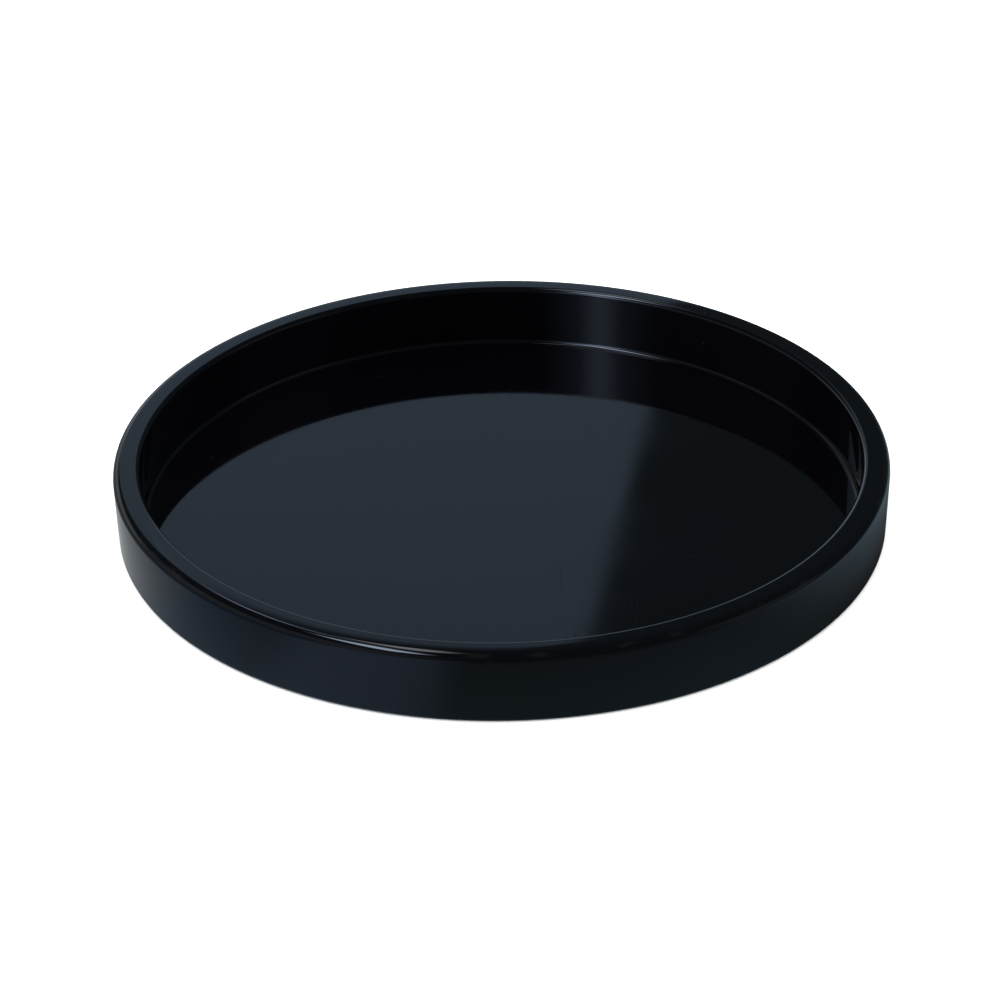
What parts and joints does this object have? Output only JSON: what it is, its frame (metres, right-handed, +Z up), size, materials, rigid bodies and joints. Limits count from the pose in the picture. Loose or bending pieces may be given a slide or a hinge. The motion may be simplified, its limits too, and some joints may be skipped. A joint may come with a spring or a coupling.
{
  "type": "serving tray",
  "caption": "Round serving tray in gloss black lacquered wood: a low upright rim of bent plies round a thin flat ply base, with a coved inner corner.",
  "frame": {"origin": "centre of the ring that the tray stands on, at table height", "axes": "+Z up out of the tray; the tray is round, so +X and +Y are free"},
  "size_m": [0.3, 0.3, 0.0286],
  "materials": {
    "black_lacquer": "high-gloss black urethane lacquer over sanded wood, no visible grain",
    "cove_filler": "the same gloss black lacquer, over a bead of filler",
    "underside_lacquer": "thinner satin black lacquer, faint grain showing",
    "bare_core_wood": "unfinished pale wood, sealed inside"
  },
  "bodies": {
    "root": {"rim_outer_ply": "black_lacquer", "rim_middle_ply": "black_lacquer", "rim_inner_ply": "black_lacquer", "corner_cove": "cove_filler", "base_face_ply": "black_lacquer", "base_core_ply": "bare_core_wood", "base_back_ply": "underside_lacquer"}
  },
  "joints": []
}
